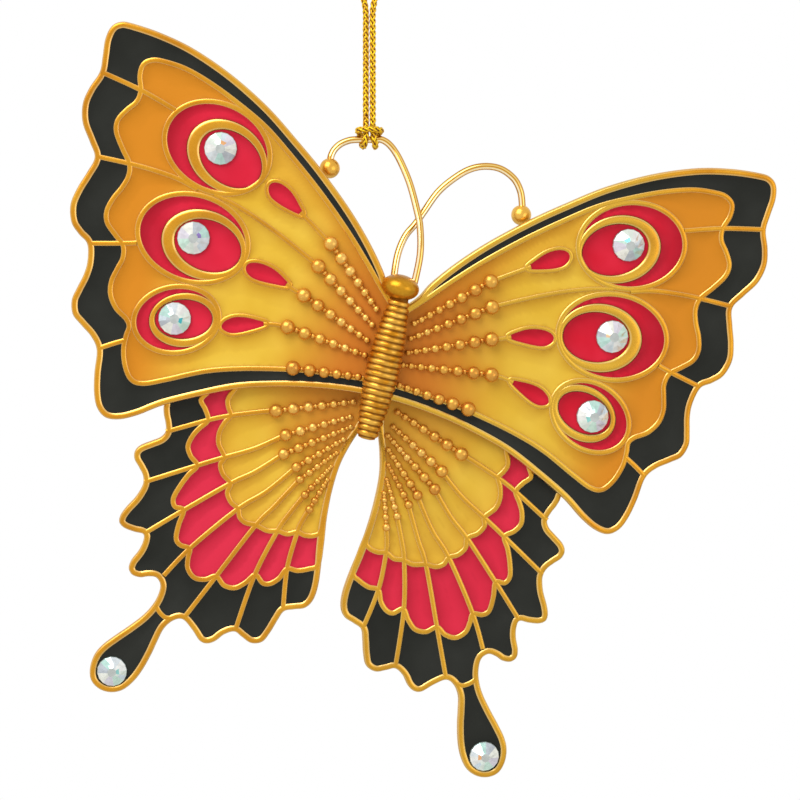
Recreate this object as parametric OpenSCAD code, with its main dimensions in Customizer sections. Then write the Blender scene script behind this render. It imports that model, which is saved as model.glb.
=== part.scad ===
// Butterfly ornament: four cast and enamelled wings with crystals, a ribbed
// body, two looped antennae with balls, and a hanging cord hitched to the
// left antenna. Millimetres. +Z is up, the butterfly faces -Y, +X is to the
// viewer's right, and the origin is where the hanging loop bears on its hook.
//
// The butterfly is drawn flat first: x runs out along a wing, y runs up the
// body and z comes out of the wing face. It is then hung as a whole.

/* [Hanging] */
// Height from the antenna wire up to where the loop bears on its hook
loop_h = 25; // [20:0.5:60]
// Tilt of the body, clockwise as the viewer sees it
hang_tilt = 13.35; // [0:0.05:25]
// Lean of the top of the butterfly toward the viewer
hang_lean = 2.04; // [0:0.01:10]
// Diameter of the braided cord
cord_d = 0.87; // [0.6:0.01:1]
// Air between the cord and the antenna wire in the hitch
hitch_air = 0.08; // [0.05:0.01:0.2]

/* [Wings] */
// Thickness of a wing, from its back to the top of its gold lines
wing_t = 1.3; // [1:0.05:2]
// Thickness of the back plate under the enamel
back_t = 0.6; // [0.4:0.05:0.8]
// How far the enamel lies below the gold lines
enamel_sink = 0.2; // [0.1:0.05:0.3]
// Width of the outer rim
rim_w = 0.9; // [0.6:0.05:1.1]
// Width of the raised gold lines round the cells
line_w = 0.6; // [0.4:0.05:0.8]
// Width of the fine gold veins in the field
vein_w = 0.45; // [0.3:0.05:0.6]
// Clearance between the enamel and the walls of its cell
enamel_gap = 0.02; // [0.01:0.01:0.04]
// Backward sweep of a forewing
fore_sweep = 5.7; // [0:0.1:12]
// Backward sweep of a hindwing
hind_sweep = 4.0; // [0:0.1:8]
// Backward lean of the lower end of a hindwing
hind_lean = 3.4; // [0:0.1:8]
// Air between the forewing's back and the hindwing under it
wing_air = 0.45; // [0.3:0.05:1]

/* [Body] */
// Length of the ribbed body
body_l = 19.9; // [16:0.1:24]
// Diameter of the body at its widest
body_d = 5.0; // [4:0.1:5.4]
// Number of ribs on the body
rib_count = 23; // [12:1:30]
// Height of a rib
rib_h = 0.22; // [0.1:0.02:0.4]
// Width of the head
head_w = 5.4; // [4.4:0.1:5.8]
// Height of the head
head_h = 3.6; // [3:0.1:4]
// How far the body sits to the left of the wings' centre line
body_shift = 0.55; // [0:0.05:0.8]
// Height of the body's centre line over the wing roots
body_lift = 1.0; // [0.6:0.1:1.6]

/* [Antennae] */
// Diameter of the antenna wire
wire_d = 1.0; // [0.7:0.05:1.2]
// Diameter of the balls at the tips
ball_d = 2.9; // [2.2:0.1:3.2]
// Clearance of a wire in its hole
wire_fit = 0.03; // [0.02:0.01:0.08]

/* [Crystals and beads] */
// Diameter of the eye crystals
gem_d = 4.7; // [3.8:0.1:4.8]
// Diameter of the tail crystals
tail_gem_d = 4.3; // [3.4:0.1:4.4]
// Height of a crystal as a share of its diameter
gem_rise = 0.36; // [0.25:0.01:0.45]
// Largest bead of a row on a forewing
fore_bead = 2.0; // [1.4:0.1:2.2]
// Each bead's size as a share of the one outside it
bead_step = 0.88; // [0.8:0.01:0.95]

/* [Hidden] */
$fn = 48;
curve_steps = 3;
oval_steps = 44;
wire_steps = 3;
// How far the end of a wire goes into its ball
wire_depth = 0.2;

enamel_top = wing_t - enamel_sink;
enamel_t = enamel_top - back_t;
wire_r = wire_d / 2;
cord_r = cord_d / 2;
gold = "goldenrod";
// Where the roots of the wings are cut straight, beside the centre line
root_x = 0.3;
// Air between the body or the head and the wing plates they sit on
seat_air = 0.05;
// Air between a bead and the gold lines round it
bead_air = 0.05;

// ---- Curves ----

// One point of a smooth curve through b and c, with a and d on either side
function curve_at(a, b, c, d, t) =
    0.5 * (
        2 * b + (c - a) * t
        + (2 * a - 5 * b + 4 * c - d) * t * t
        + (3 * b - a - 3 * c + d) * t * t * t
    );

// A closed smooth curve through p, with n steps between its points
function closed_curve(p, n) = [
    for (i = [0 : len(p) - 1], k = [0 : n - 1])
        curve_at(p[(i + len(p) - 1) % len(p)], p[i], p[(i + 1) % len(p)], p[(i + 2) % len(p)], k / n)
];

// An open smooth curve through p, with n steps between its points
function open_curve(p, n) = concat([
    for (i = [0 : len(p) - 2], k = [0 : n - 1])
        curve_at(p[max(i - 1, 0)], p[i], p[i + 1], p[min(i + 2, len(p) - 1)], k / n)
], [p[len(p) - 1]]);

function unit(v) = v / norm(v);
function tangent(p, i) = unit(p[min(i + 1, len(p) - 1)] - p[max(i - 1, 0)]);
function left_of(v) = [-v[1], v[0]];

// An ellipse as [centre, half length, half width, turn], grown by g
function oval(e, g, n) = [
    for (i = [0 : n - 1])
        let (x = (e[1] + g) * cos(360 * i / n), y = (e[2] + g) * sin(360 * i / n))
        e[0] + [x * cos(e[3]) - y * sin(e[3]), x * sin(e[3]) + y * cos(e[3])]
];

// A line of width w along the open curve p
module line(p, w) {
    side = [for (i = [0 : len(p) - 1]) left_of(tangent(p, i)) * w / 2];
    last = len(p) - 1;
    polygon(concat(
        [for (i = [0 : last]) p[i] + side[i]],
        [for (i = [0 : last]) p[last - i] - side[last - i]]
    ));
}

// What lies outboard of the wing roots' straight cut
wing_reach = 60;
module outboard() {
    intersection() {
        children();
        translate([root_x, -wing_reach]) square([wing_reach, 2 * wing_reach]);
    }
}

// ---- Forewing, drawn flat ----

// Outer edge, from the root along the lower edge, up the margin and back
fore_edge = [
    [-1.5, -3.4], [0.3, -3.5], [5, -3.8], [10, -4.5], [15, -5.6], [20, -7.1], [25, -9.4], [29.6, -11.8],
    [32.8, -14], [35.2, -15.2], [37.2, -15.4], [38.7, -14.3], [39.6, -12.3], [40.2, -9.5], [40.6, -6.4],
    [41.8, -4.7], [43.6, -3.4], [45.1, -2.2], [45.7, -0.3], [45.4, 1.5], [44.9, 3.6], [44.8, 5.6], [45.4, 8],
    [46.9, 9.1], [48.3, 10.5], [49, 12.9], [48.6, 15.4], [47.8, 17.8], [47.2, 20.2],
    [48.4, 22.2], [50, 24.6], [50.6, 27.2], [50.2, 29.6], [49.3, 32.1],
    [49.4, 34.4], [49.6, 36.8], [49.2, 38.7], [48.1, 39.7], [46.4, 39.9],
    [42, 39.5], [37, 38.4], [31, 36.1], [25, 32.9], [20, 29.4], [15.5, 26], [10.3, 21.5], [6.5, 17.6],
    [3.6, 14], [2.2, 11.6], [0.3, 9.6], [-1.5, 8]
];
// Middle of the gold line between the field and the black border
fore_border = [
    [-1.5, -1.2], [0.3, -1.3], [5, -1.65], [10, -2.1], [14.2, -2.8], [20, -4.1], [25, -5.7], [30, -8.1],
    [33, -9.4], [34.8, -9.3], [36.1, -7.7], [36.9, -5.4], [37, -3.4], [36.9, -2], [37.6, -1],
    [39.3, 0.1], [40.5, 1.8], [40.8, 3.7], [40.4, 5.6], [40, 7.3], [40.4, 9],
    [41.8, 10.2], [43.3, 11.6], [43.75, 13.2], [43.3, 15.1], [42.4, 17], [41.9, 18.8], [42.2, 20.5],
    [43.6, 22.3], [45, 24.4], [45.2, 26.1], [44.3, 27.8], [43.2, 29.3], [43, 31],
    [43.6, 32.9], [43.5, 34.6], [42.4, 35.5], [40.8, 35.7], [37.5, 35.4], [33.5, 34.2], [29, 32.3],
    [24.5, 30], [20, 26.8], [15, 22.9], [10, 18.5], [6, 14.5], [3.6, 11.9], [0.3, 8.6], [-1.5, 7]
];
// Gold lines across the black border and the margin of the field
fore_lines = [
    [[37.6, 29.4], [43, 31], [49.6, 32.3]],
    [[32, 19.2], [35, 20], [38.8, 20.4], [42.2, 20.5], [47.6, 20.4]],
    [[38.6, 9.8], [40.4, 9.3], [45.8, 8]],
    [[36.9, -4], [38.7, -5], [40.9, -6.4]]
];
// Fine veins that lead from the drops and eyes to the bead rows
fore_veins = [
    [[17, 19.4], [14.6, 17.9], [12.3, 16.4]],
    [[13.2, 12.8], [16.7, 14.5], [20, 16], [23.3, 17.3], [26.7, 18.4], [29.5, 19]],
    [[16.6, 9], [15.3, 8.5], [14.2, 8.2]],
    [[18.4, 2.8], [17, 3.1], [15.4, 3.2]]
];
// Eyes as [centre, half length, half width, turn]: middle of the outer
// ring, outside of the thick inner ring, and the pupil
eye_rings = [
    [[30.6, 25.6], 7.8, 6.2, 14],
    [[31, 12.3], 8, 6.15, 4],
    [[30.6, 0.5], 6.1, 4.7, -22]
];
eye_inner = [
    [[28.95, 24.7], 6.15, 4.9, 22],
    [[29.25, 11.75], 6.2, 4.95, 6],
    [[29.5, 0.7], 5.05, 3.9, -18]
];
eye_pupils = [
    [[28.4, 24.5], 4.85, 3.6, 25],
    [[28.7, 11.75], 4.85, 3.55, 8],
    [[29.6, 0.8], 4.05, 2.75, -15]
];
eye_gems = [[30.1, 25.6], [30.9, 12.35], [30.85, 0.6]];
// Red drops between the bead rows and the eyes
drops = [
    [[16.6, 19.1], [17.6, 20.6], [18.9, 21.9], [20.5, 22.7],
     [21.8, 22.6], [22.2, 21.7], [21.5, 20.5], [19.4, 19.6]],
    [[16.2, 8.9], [17.6, 10.1], [19.3, 10.85], [21.2, 11.05],
     [22.5, 10.6], [22.6, 9.6], [21.4, 8.75], [18.8, 8.6]],
    [[18, 2.85], [19.8, 3.15], [21.6, 3.05], [23, 2.6],
     [24, 1.7], [24, 0.8], [22.6, 0.45], [20.6, 1.2]]
];
// Bead rows as [outer end, inner end, number of beads, largest bead]
fore_rows = [
    [[11.75, 16.1], [3.3, 8.6], 7, fore_bead],
    [[12.75, 12.6], [3.4, 6.3], 7, fore_bead],
    [[13.8, 8.1], [3.6, 4], 7, fore_bead],
    [[15, 3.2], [3.4, 1.85], 7, fore_bead],
    [[12.9, -2.3], [3.6, -1.35], 6, fore_bead]
];

// ---- Hindwing, drawn flat ----

// Outer edge, from the inner top down the body side, round the tail and up
hind_edge = [
    [0.3, -4.5], [1.2, -8], [2.4, -11.5], [3.15, -14.8], [3.35, -19], [3.2, -23], [2.8, -26.5], [2.35, -29.4],
    [2.1, -32.3], [2.35, -34.4], [3.2, -35.7], [4.7, -36.3], [6, -36.9], [6.6, -38.4], [7.2, -40.3],
    [8, -41.9], [9.5, -42.45], [11, -41.9], [12.2, -41.4], [13.5, -42.1], [14.6, -43.4], [15.7, -44],
    [16.8, -43.8], [18.2, -42.5], [19.8, -41.4], [21.1, -41.9], [22.1, -43.3], [22.6, -45.3], [23, -47.3],
    [23.7, -49.8], [24.6, -51.8], [25.9, -53.4], [27.6, -54.1], [29.3, -53.9], [30.6, -52.9], [31.1, -51.2],
    [30.9, -49.3], [30.1, -47.7], [28.7, -46], [27, -44.1], [25.4, -42.1], [24.4, -40.2], [24, -38.5],
    [24.1, -37.2], [24.9, -36.4], [26, -36.5], [27.1, -36.9], [28.3, -36.8], [29, -36], [28.9, -34.8],
    [28.2, -33.2], [27.9, -31.8], [28.1, -30.75], [29.4, -30.7], [30.9, -30.5], [31.8, -29.9], [31.9, -28.9],
    [31.4, -27.6], [30.5, -26], [30, -24.7], [29.8, -23.6], [30.1, -22.5], [30.9, -21.5], [31.8, -20.5],
    [32, -19.4], [31.4, -18.4], [30, -17.4], [28.9, -16.6], [28.4, -15.6], [28.7, -14.4], [29.2, -13.3],
    [29.5, -12], [29.2, -10.4], [25, -7.2], [20, -5], [14, -3.2], [8, -2.2], [0.3, -1.9], [-1.5, -3.2]
];
// Middle of the gold line round the amber field
hind_field = [
    [0.3, -4], [1.6, -8], [3.2, -12.5], [3.75, -17], [3.75, -21], [3.6, -24.3], [4.3, -25.2], [5.6, -25.5],
    [6.8, -25.3], [8.1, -25.9], [9.5, -25.8], [11, -26.1], [12.8, -25.7], [14.3, -25.7], [15.3, -25.1],
    [15.8, -24], [17, -23.3], [17.8, -22.1], [17.7, -20.7], [19, -19.7], [19.7, -18.4], [19.4, -17.2],
    [20.6, -15.6], [20.9, -14], [20.5, -12.4], [19.9, -11.2], [20.5, -10.1], [20.8, -9], [20.3, -7.6],
    [19, -5.6], [14, -4], [8, -3], [0.3, -2.6], [-1.5, -3.3]
];
// Middle of the gold line between the red row and the black border
hind_mid = [
    [0.3, -4], [1.6, -8], [3.2, -12.5], [3.75, -17], [3.6, -22], [3.1, -26], [2.9, -29.2], [4, -30.1],
    [5.5, -30.7], [7, -30.8], [7.8, -32.4], [8.8, -33.4], [9.9, -33.6], [11.2, -32.7], [12.3, -34.1],
    [13.6, -35.2], [15.2, -35.2], [16.6, -34.2], [18, -35], [19.6, -35.1], [20.8, -34], [21.1, -32.5],
    [21.2, -31.2], [22.6, -31], [23.4, -30.2], [23.5, -28.2], [23.3, -26], [24.6, -25.8], [25.1, -24.7],
    [24.6, -22.8], [23.8, -20.9], [22.9, -19.3], [24.1, -18.2], [24.8, -16.9], [24.5, -15.3], [23.8, -14],
    [22.9, -12.6], [23.6, -11.2], [24.5, -10.1], [24.1, -9.1], [22.8, -7.6], [19, -5.6], [14, -4],
    [8, -3], [0.3, -2.6], [-1.5, -3.3]
];
// Veins from the bead rows through the red row to the notches of the edge
hind_veins = [
    [[13.8, -9], [16.5, -9.9], [19.9, -11.2], [22.9, -12.6], [28.8, -15.9]],
    [[11.7, -12.1], [15.3, -14.9], [19.3, -17.2], [22.9, -19.3], [30.2, -23.7]],
    [[11.3, -14.8], [14.6, -18.2], [17.7, -20.7], [23.3, -26], [28.3, -30.9]],
    [[9.1, -16.2], [12.4, -20.6], [15.8, -24], [21.2, -31.2], [24.4, -36.8]],
    [[8.2, -17.8], [10.8, -22.4], [12.8, -25.7], [16.6, -34.2], [20, -41.8]],
    [[7, -19.8], [8.6, -23.2], [9.6, -25.8], [11.3, -32.8], [12.2, -41.8]],
    [[5.9, -21.7], [6.5, -23.6], [6.8, -25.4], [7, -30.8], [6.1, -37.2]]
];
// Gold line between the last black cell and the tail
tail_line = [[20, -41.4], [21.2, -41.6], [22.4, -41.6], [23.4, -41], [24.2, -40]];
tail_gem = [27.9, -51];
hind_rows = [
    [[13.8, -9], [3.4, -5.2], 7, 1.9],
    [[11.65, -12.05], [3.3, -7.4], 7, 1.7],
    [[11.3, -14.8], [2.9, -8.8], 7, 1.6],
    [[9.1, -16.2], [3.5, -10.8], 6, 1.4],
    [[8.2, -17.8], [4, -12.9], 6, 1.2],
    [[7, -19.8], [4.3, -15], 6, 1.1],
    [[5.9, -21.7], [4.4, -17], 5, 1.1]
];

// The beads of a row as [x, y, diameter], with so many more added at the
// body: they shrink toward the body, and the steps shrink with them
function steps_to(i) = (1 - pow(bead_step, i)) / (1 - bead_step);
function bead_spots(row, more) = [
    for (i = [0 : row[2] - 1 + more])
        let (at = row[0] + steps_to(i) / steps_to(row[2] - 1) * (row[1] - row[0]))
        [at[0], at[1], row[3] * pow(bead_step, i)]
];

// ---- Places of the body and the cord ----

body_top = 10.65;
body_x = -body_shift;
// The head sits a little further to the left than the body
head_x = body_x - 0.3;
head_y = body_top + head_h / 2;
// Middle of the straight stretch of wire that the cord is hitched on
hitch_at = [-9.5, 31.65, -5];
wire_along = [cos(hang_tilt), sin(hang_tilt), 0];
hitch_half = 1.7;
left_wire = concat(
    [[1, 13.2, 0.6], [0.9, 17.5, 0.1], [0.1, 21.2, -0.8], [-0.9, 23.6, -1.6], [-2.6, 26.9, -2.8],
     [-4.4, 29.5, -3.9], [-5.7, 30.95, -4.6], [-6.8, 31.75, -4.9]],
    [for (k = [1, 0.5, -0.5, -1]) hitch_at + k * hitch_half * wire_along],
    [[-12.2, 30.9, -5], [-13.3, 30.15, -4.9], [-14.05, 29.1, -4.7], [-14.3, 28, -4.5], [-14.15, 26.9, -4.4]]
);
left_ball = [-14.1, 26.4, -4.3];
right_wire = [
    [-1.9, 13, -0.3], [-2.1, 16.7, -1.1], [-1.6, 19.5, -1.9], [-0.5, 21.6, -2.6], [0.3, 23.5, -3.1],
    [1.7, 26.7, -3.8], [3.6, 29.2, -4.2], [5.5, 30.9, -4.5], [7.6, 31.8, -4.6], [9.8, 31.9, -4.7],
    [11.9, 31, -4.7], [13.2, 29.5, -4.6], [13.9, 27.7, -4.5], [14.1, 26.7, -4.4]
];
right_ball = [14.1, 26.2, -4.4];

// Half of the hitch, from the strand down in front of the wire, round
// under and behind it, over the top and out to the crossing in front
wrap_r = wire_r + cord_r + hitch_air;
strand_x = 0.49;
hitch_top = 3.4;
half_hitch = concat(
    [[-strand_x, 0, hitch_top], [-strand_x, 0, 2.6], [-strand_x, -0.1, 1.7], [-0.52, -0.45, 1.1]],
    [for (a = [30 : -40 : -170]) [-0.55 - 0.25 * (30 - a) / 100, -wrap_r * cos(a), wrap_r * sin(a)]],
    [[-1.3, 0.8, 0.72], [-1.62, 0.1, 1.2], [-1.5, -0.8, 1.36], [-0.8, -1.25, 1.46]]
);
turned_half = [
    for (i = [len(half_hitch) - 1 : -1 : 0])
        [-half_hitch[i][0], half_hitch[i][1], half_hitch[i][2]]
];
hitch_path = open_curve(concat(half_hitch, [[0, -1.32, 1.5]], turned_half), 3);
// The loop, from the hitch up, over its hook and down again
loop_bend = loop_h - 7;
loop_half = concat(
    [for (k = [0 : 5]) [-strand_x, 0, hitch_top + k * (loop_bend - hitch_top) / 5]],
    [[-0.75, 0, loop_h - 5.2], [-1.15, 0, loop_h - 3.6], [-1.6, 0, loop_h - 1.9],
     [-1.5, 0, loop_h - 0.4], [-0.85, 0, loop_h + 0.25]]
);
other_half = [for (i = [len(loop_half) - 1 : -1 : 0]) [-loop_half[i][0], 0, loop_half[i][2]]];
loop_path = open_curve(concat(loop_half, [[0, 0, loop_h + cord_r]], other_half), 2);

function path_length(p, i = 1) = i < len(p) ? norm(p[i] - p[i - 1]) + path_length(p, i + 1) : 0;
echo(loop_length = path_length(loop_path), hitch_length = path_length(hitch_path));
hitch_skip = 9;
echo(hitch_least_gap = min([
    for (i = [0 : len(hitch_path) - 1], j = [i + hitch_skip : 1 : len(hitch_path) - 1])
        norm(hitch_path[i] - hitch_path[j]) - cord_d
]));

// ---- Solids made along a path ----

// Side directions along the path p, carried on from ring to ring without twist
function carry(v, t) = unit(v - (v * t) * t);
function sides_along(p) = [
    for (i = 0, v = carry([0.31, 0.52, 0.8], tangent(p, 0)); i < len(p);
         i = i + 1, v = i < len(p) ? carry(v, tangent(p, i)) : v) v
];

// A round tube of radius r and n sides along the path p
module tube(p, r, n) {
    s = sides_along(p);
    rings = len(p);
    points = [
        for (i = [0 : rings - 1], k = [0 : n - 1])
            p[i] + r * cos(360 * k / n) * s[i] + r * sin(360 * k / n) * cross(tangent(p, i), s[i])
    ];
    walls = [
        for (i = [0 : rings - 2], k = [0 : n - 1], half = [0, 1])
            let (a = i * n + k, b = i * n + (k + 1) % n)
            half == 0 ? [a, a + n, b] : [b, a + n, b + n]
    ];
    caps = [[for (k = [0 : n - 1]) k], [for (k = [0 : n - 1]) rings * n - 1 - k]];
    polyhedron(points, concat(walls, caps));
}

// ---- Placing ----

// Hangs the flat-drawn butterfly from the hitch
module hang() {
    translate([0, 0, -loop_h])
        rotate([hang_lean, 0, 0])
            rotate([0, hang_tilt, 0])
                rotate([90, 0, 0])
                    translate(-hitch_at)
                        children();
}

// Lowers the cord, which is drawn round the antenna wire
module on_wire() {
    translate([0, 0, -loop_h])
        children();
}

// side is 1 for the viewer's right wing and -1 for the left one
module on_side(side) {
    hang() mirror([side < 0 ? 1 : 0, 0, 0]) children();
}

module fore_place(side) {
    on_side(side) rotate([0, fore_sweep, 0]) translate([0, 0, -wing_t]) children();
}

hind_drop = 2 * wing_t + wing_air;
module hind_place(side) {
    on_side(side)
        rotate([0, hind_sweep, 0])
            rotate([hind_lean, 0, 0])
                translate([0, 0, -hind_drop])
                    children();
}

// ---- Flat shapes of the forewing ----

module fore_shape() {
    outboard() polygon(closed_curve(fore_edge, curve_steps));
}

module fore_inside() {
    polygon(closed_curve(fore_border, curve_steps));
}

module ring_line(e, g) {
    difference() {
        polygon(oval(e, g, oval_steps));
        polygon(oval(e, -g, oval_steps));
    }
}

module drop_shape(p) {
    polygon(closed_curve(p, curve_steps));
}

// The feet of the beads, where the gold lines leave room for them
module bead_feet(rows) {
    for (row = rows, b = bead_spots(row, 1))
        translate([b[0], b[1]]) circle(d = b[2] + 2 * bead_air, $fn = 16);
}

module fore_reds() {
    for (i = [0 : 2]) {
        difference() {
            polygon(oval(eye_rings[i], -line_w / 2, oval_steps));
            polygon(oval(eye_inner[i], 0, oval_steps));
        }
        polygon(oval(eye_pupils[i], 0, oval_steps));
        drop_shape(drops[i]);
    }
}

// The raised gold lines inside the rim of the forewing
module fore_gold() {
    difference() {
        offset(delta = line_w / 2) fore_inside();
        offset(delta = -line_w / 2) fore_inside();
    }
    for (p = fore_lines) line(open_curve(p, 3), line_w);
    for (p = fore_veins) line(open_curve(p, 3), vein_w);
    difference() {
        union() {
            for (e = eye_rings) polygon(oval(e, line_w / 2, oval_steps));
            for (d = drops) offset(delta = vein_w) drop_shape(d);
        }
        fore_reds();
    }
}

module fore_cells(grow) {
    offset(delta = grow)
        difference() {
            offset(delta = -rim_w) fore_shape();
            difference() {
                fore_gold();
                bead_feet(fore_rows);
            }
        }
}

// The part of the cells that one colour fills: 0 black, 1 amber, 2 red
module fore_colour(which) {
    offset(delta = -enamel_gap / 2)
        intersection() {
            fore_cells(0);
            if (which == 0) {
                difference() {
                    fore_shape();
                    fore_inside();
                    bead_feet(fore_rows);
                }
            }
            if (which == 1) {
                difference() {
                    union() {
                        fore_inside();
                        bead_feet(fore_rows);
                    }
                    for (e = eye_rings) polygon(oval(e, 0, oval_steps));
                    for (d = drops) offset(delta = vein_w / 2) drop_shape(d);
                }
            }
            if (which == 2) {
                union() {
                    for (e = eye_rings) polygon(oval(e, 0, oval_steps));
                    for (d = drops) offset(delta = vein_w / 2) drop_shape(d);
                }
            }
        }
}

// ---- Flat shapes of the hindwing ----

module hind_shape() {
    outboard() polygon(closed_curve(hind_edge, curve_steps));
}

module hind_inside(p) {
    polygon(closed_curve(p, curve_steps));
}

// The raised gold lines inside the rim of the hindwing
module hind_gold() {
    for (p = [hind_field, hind_mid])
        difference() {
            offset(delta = line_w / 2) hind_inside(p);
            offset(delta = -line_w / 2) hind_inside(p);
        }
    for (p = hind_veins) {
        difference() {
            line(open_curve(p, 3), line_w);
            hind_inside(hind_field);
        }
        line(open_curve(p, 3), vein_w);
    }
    line(open_curve(tail_line, 3), line_w);
}

module hind_cells(grow) {
    offset(delta = grow)
        difference() {
            offset(delta = -rim_w) hind_shape();
            difference() {
                hind_gold();
                bead_feet(hind_rows);
            }
        }
}

module hind_colour(which) {
    offset(delta = -enamel_gap / 2)
        intersection() {
            hind_cells(0);
            if (which == 0) {
                difference() {
                    hind_shape();
                    hind_inside(hind_mid);
                    hind_inside(hind_field);
                    bead_feet(hind_rows);
                }
            }
            if (which == 1) {
                union() {
                    hind_inside(hind_field);
                    bead_feet(hind_rows);
                }
            }
            if (which == 2) {
                difference() {
                    hind_inside(hind_mid);
                    hind_inside(hind_field);
                    bead_feet(hind_rows);
                }
            }
        }
}

// ---- Solids of the wings ----

module cast_frame(which) {
    color(gold)
        difference() {
            linear_extrude(wing_t)
                if (which == "fore") fore_shape(); else hind_shape();
            translate([0, 0, back_t])
                linear_extrude(wing_t)
                    if (which == "fore") fore_cells(enamel_gap / 2); else hind_cells(enamel_gap / 2);
        }
}

module enamel(shade) {
    color(shade)
        translate([0, 0, back_t])
            linear_extrude(enamel_t)
                children();
}

// A bead of diameter d, cut flat where it sits on the enamel
module bead(d) {
    difference() {
        translate([0, 0, d / 4]) sphere(d = d);
        translate([-d, -d, -2 * d]) cube(2 * d);
    }
}

// A flat-backed crystal: a round girdle, eight crown facets and a table
module crystal(d) {
    rise = gem_rise * d;
    girdle_h = 0.08 * d;
    table_r = 0.14 * d;
    foot_r = d / 2 + (d / 2 - table_r) * girdle_h / (rise - girdle_h);
    color("lightcyan")
        intersection() {
            cylinder(h = rise, d = d);
            rotate([0, 0, 22.5])
                cylinder(h = rise, r1 = foot_r / cos(22.5), r2 = table_r / cos(22.5), $fn = 8);
        }
}

module beads(rows, more) {
    color(gold)
        translate([0, 0, enamel_top])
            for (row = rows, b = bead_spots(row, more))
                translate([b[0], b[1]]) bead(b[2]);
}

module eye_crystals() {
    for (p = eye_gems) translate([p[0], p[1], enamel_top]) crystal(gem_d);
}

module tail_crystal() {
    translate([tail_gem[0], tail_gem[1], enamel_top]) crystal(tail_gem_d);
}

// ---- Body, head and antennae ----

// Half width of the body at a share s of its length: a spindle whose ends
// are end_share as wide as its middle
end_share = 0.6;
function body_half(s) = body_d / 2 * (end_share + (1 - end_share) * sin(180 * s));

// The groove over each rib is cut deepest, and the rib stands full between
groove_depths = [1, 0.3, 0, 0.3];
tip_l = 0.45;

module body_turned() {
    pitch = body_l / rib_count;
    tip_r = body_half(1);
    rotate([90, 0, 0])
        rotate_extrude()
            polygon(concat(
                [[0, 0]],
                [for (i = [0 : rib_count - 1], k = [0 : 3])
                    let (y = (i + k / 4) * pitch, s = y / body_l)
                    [body_half(s) - rib_h * groove_depths[k], y]],
                [[tip_r - rib_h, body_l], [tip_r / 2, body_l + 0.8 * tip_l], [0, body_l + tip_l]]
            ));
}

// Everything below the seat on the forewing plates, up to y = top
seat_over = 1;
module under_seat(top) {
    size = [3 * head_w, top - fore_edge[1][1] + seat_over, head_w];
    translate([-size[0] / 2, top - size[1], seat_air - size[2]]) cube(size);
}

module ribbed_body() {
    hang()
        color(gold)
            difference() {
                translate([body_x, body_top, body_lift]) body_turned();
                under_seat(body_top + seat_over);
            }
}

module head() {
    hang()
        color(gold)
            difference() {
                translate([head_x, head_y, body_lift])
                    rotate([90, 0, 0])
                        rotate_extrude()
                            polygon([for (a = [-90 : 7.5 : 90]) [head_w / 2 * cos(a), head_h / 2 * sin(a)]]);
                under_seat(head_y + head_h / 6);
                tube(open_curve(left_wire, wire_steps), wire_r + wire_fit, 12);
                tube(open_curve(right_wire, wire_steps), wire_r + wire_fit, 12);
            }
}

module antenna_wire(p, ball) {
    hang()
        color(gold)
            difference() {
                tube(open_curve(p, wire_steps), wire_r, 12);
                translate(ball) sphere(d = ball_d - 2 * wire_depth);
            }
}

module antenna_ball(p, ball) {
    hang()
        color(gold)
            difference() {
                translate(ball) sphere(d = ball_d);
                tube(open_curve(p, wire_steps), wire_r + wire_fit, 12);
            }
}

// ---- Cord ----

module hanging_cord() {
    on_wire() color("darkgoldenrod") tube(loop_path, cord_r, 8);
}

module cord_hitch() {
    on_wire() color("darkgoldenrod") tube(hitch_path, cord_r, 8);
}

hanging_cord();
cord_hitch();
antenna_wire(left_wire, left_ball);  // antenna_wire_left
antenna_wire(right_wire, right_ball);  // antenna_wire_right
antenna_ball(left_wire, left_ball);  // antenna_ball_left
antenna_ball(right_wire, right_ball);  // antenna_ball_right
head();
ribbed_body();
fore_place(-1) cast_frame("fore");  // forewing_frame_left
fore_place(1) cast_frame("fore");  // forewing_frame_right
fore_place(-1) enamel("dimgray") fore_colour(0);  // forewing_black_left
fore_place(1) enamel("dimgray") fore_colour(0);  // forewing_black_right
fore_place(-1) enamel("orange") fore_colour(1);  // forewing_amber_left
fore_place(1) enamel("orange") fore_colour(1);  // forewing_amber_right
fore_place(-1) enamel("crimson") fore_colour(2);  // forewing_red_left
fore_place(1) enamel("crimson") fore_colour(2);  // forewing_red_right
fore_place(-1) beads(fore_rows, 0);  // forewing_beads_left
fore_place(1) beads(fore_rows, 1);  // forewing_beads_right
fore_place(-1) eye_crystals();  // eye_crystals_left
fore_place(1) eye_crystals();  // eye_crystals_right
hind_place(-1) cast_frame("hind");  // hindwing_frame_left
hind_place(1) cast_frame("hind");  // hindwing_frame_right
hind_place(-1) enamel("dimgray") hind_colour(0);  // hindwing_black_left
hind_place(1) enamel("dimgray") hind_colour(0);  // hindwing_black_right
hind_place(-1) enamel("gold") hind_colour(1);  // hindwing_amber_left
hind_place(1) enamel("gold") hind_colour(1);  // hindwing_amber_right
hind_place(-1) enamel("crimson") hind_colour(2);  // hindwing_red_left
hind_place(1) enamel("crimson") hind_colour(2);  // hindwing_red_right
hind_place(-1) beads(hind_rows, 0);  // hindwing_beads_left
hind_place(1) beads(hind_rows, 0);  // hindwing_beads_right
hind_place(-1) tail_crystal();  // tail_crystal_left
hind_place(1) tail_crystal();  // tail_crystal_right
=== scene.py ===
# %% [markdown]
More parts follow.
